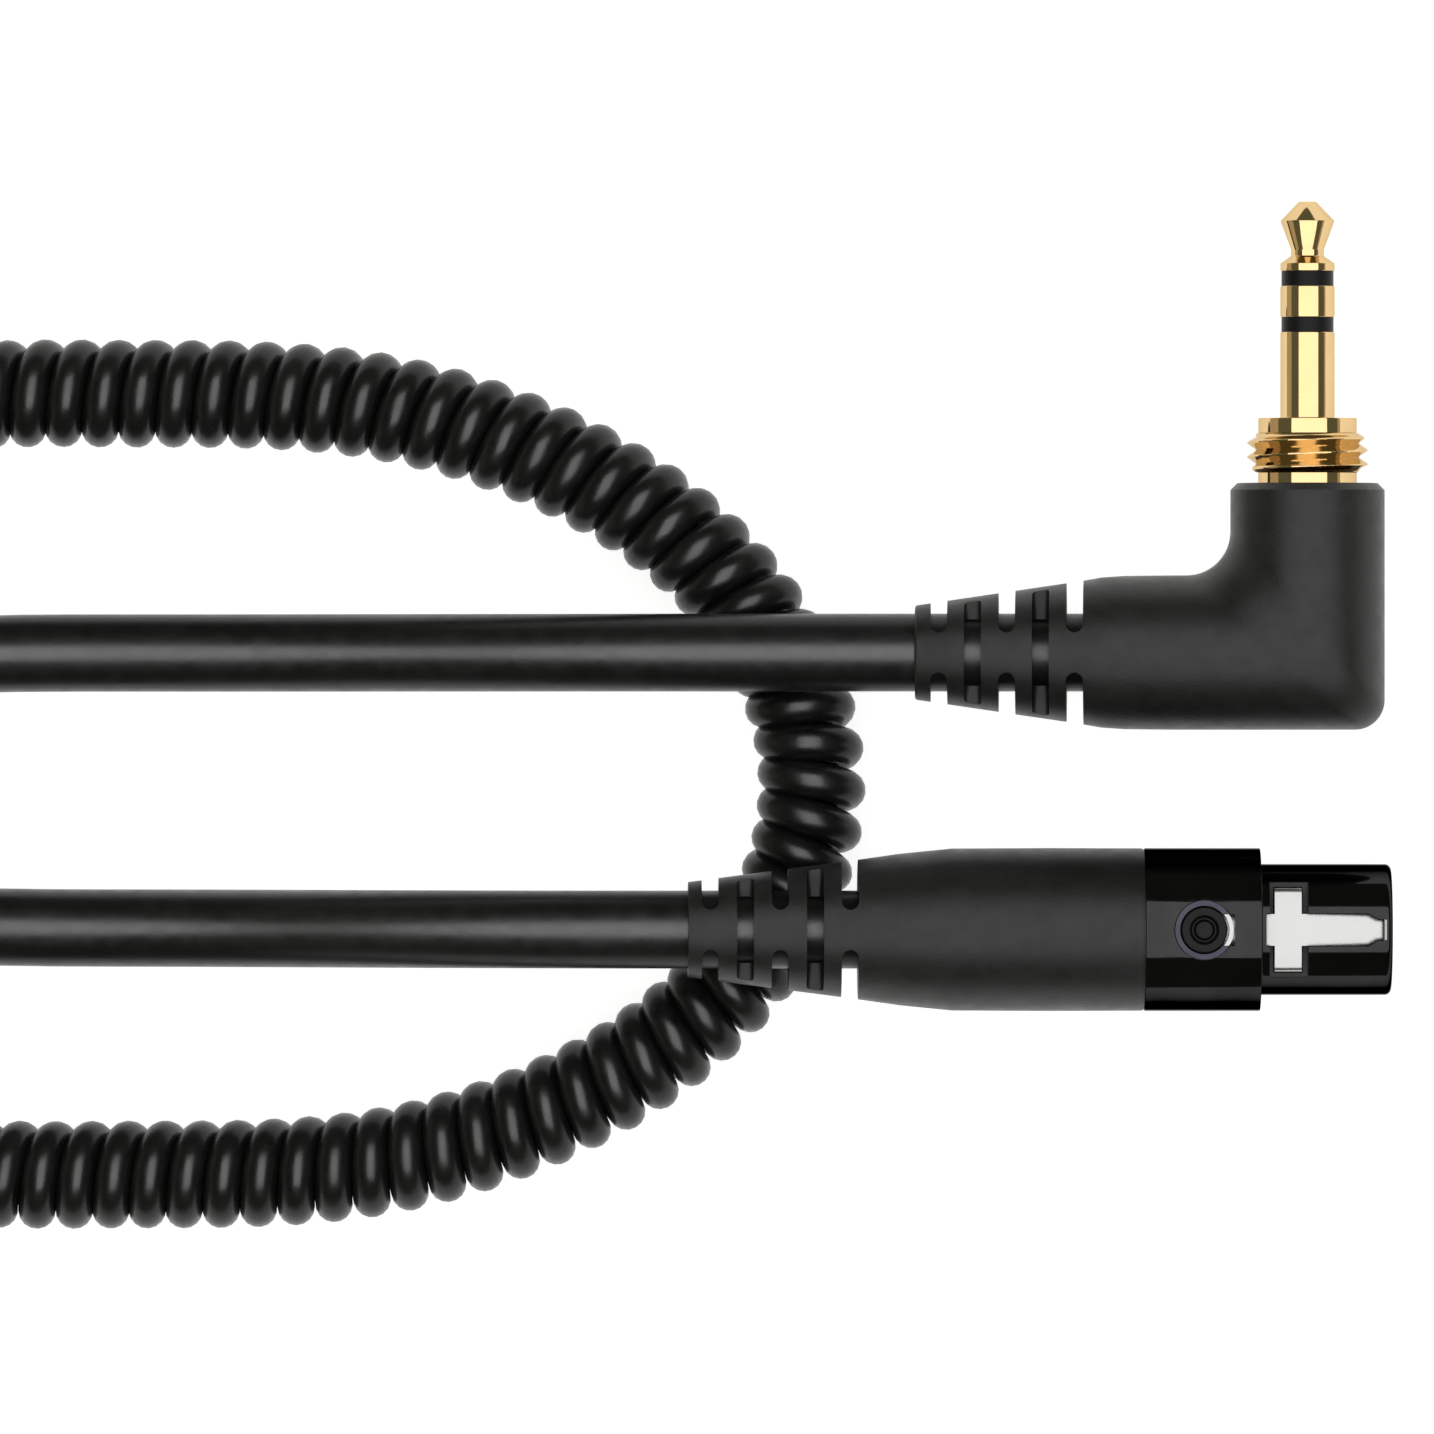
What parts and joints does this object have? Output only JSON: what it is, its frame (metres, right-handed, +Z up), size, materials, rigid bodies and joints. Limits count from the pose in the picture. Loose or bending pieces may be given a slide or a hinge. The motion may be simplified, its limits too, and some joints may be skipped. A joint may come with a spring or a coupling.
{
  "type": "coiled headphone cable",
  "caption": "Coiled black audio cable with a gold right-angled jack plug and a latching mini-XLR cable socket, its spare length folded and tied.",
  "frame": {"origin": "on the table under the middle of the two plugs", "axes": "+Y along the jack towards its tip, +X towards the mini-XLR's open end, +Z up from the table"},
  "size_m": [0.1859, 0.066, 0.0148],
  "materials": {
    "moulding": "matt moulded PVC",
    "jacket": "satin PVC cable jacket",
    "curly_jacket": "satin polyurethane cord jacket",
    "insulator": "black moulded nylon",
    "gold": "polished gold plate on brass",
    "tinned_brass": "tinned brass",
    "shell": "gloss black plate on zinc",
    "latch_steel": "bright spring steel",
    "button": "satin black nylon",
    "tie": "black hook-and-loop strap",
    "red_wire": "red wire cover",
    "white_wire": "white wire cover",
    "copper_wire": "lacquered copper screen"
  },
  "bodies": {
    "cable": {"jack_boot": "moulding", "xlr_boot": "moulding", "jack_lead_sleeve": "moulding", "xlr_lead_sleeve": "moulding", "jack_sleeve_contact": "gold", "jack_ring_contact": "gold", "jack_tip_contact": "gold", "jack_ring_insulator": "insulator", "jack_tip_insulator": "insulator", "jack_inner_mould": "insulator", "jack_ring_lug": "tinned_brass", "jack_tip_lug": "tinned_brass", "jack_sleeve_lug": "tinned_brass", "jack_ring_wire": "red_wire", "jack_tip_wire": "white_wire", "jack_sleeve_wire": "copper_wire", "xlr_shell": "shell", "xlr_insert": "insulator", "xlr_contact_1": "gold", "xlr_contact_2": "gold", "xlr_contact_3": "gold", "xlr_wire_1": "copper_wire", "xlr_wire_2": "white_wire", "xlr_wire_3": "red_wire", "xlr_cable_grip": "tinned_brass", "jack_lead": "jacket", "xlr_lead": "jacket", "curly_cord": "curly_jacket", "cable_tie": "tie"},
    "latch": {"xlr_latch": "latch_steel"},
    "release_button": {"xlr_release_button": "button"}
  },
  "joints": [
    {"name": "latch_press", "type": "hinge", "parent": "cable", "child": "latch", "pos_m": [0.02202, -0.0207, 0.00756], "axis": [0, -1, 0], "range_deg": [0, 4.45], "stiffness_Nm_per_rad": 0.5, "springref_deg": -2.86},
    {"name": "release_press", "type": "slide", "parent": "cable", "child": "release_button", "axis": [-0.1702, 0, -0.9854], "range_m": [0, 0.0009]}
  ],
  "couplings": [
    {"joint": "release_press", "follows": "latch_press", "m_per_rad": 0.0114}
  ]
}
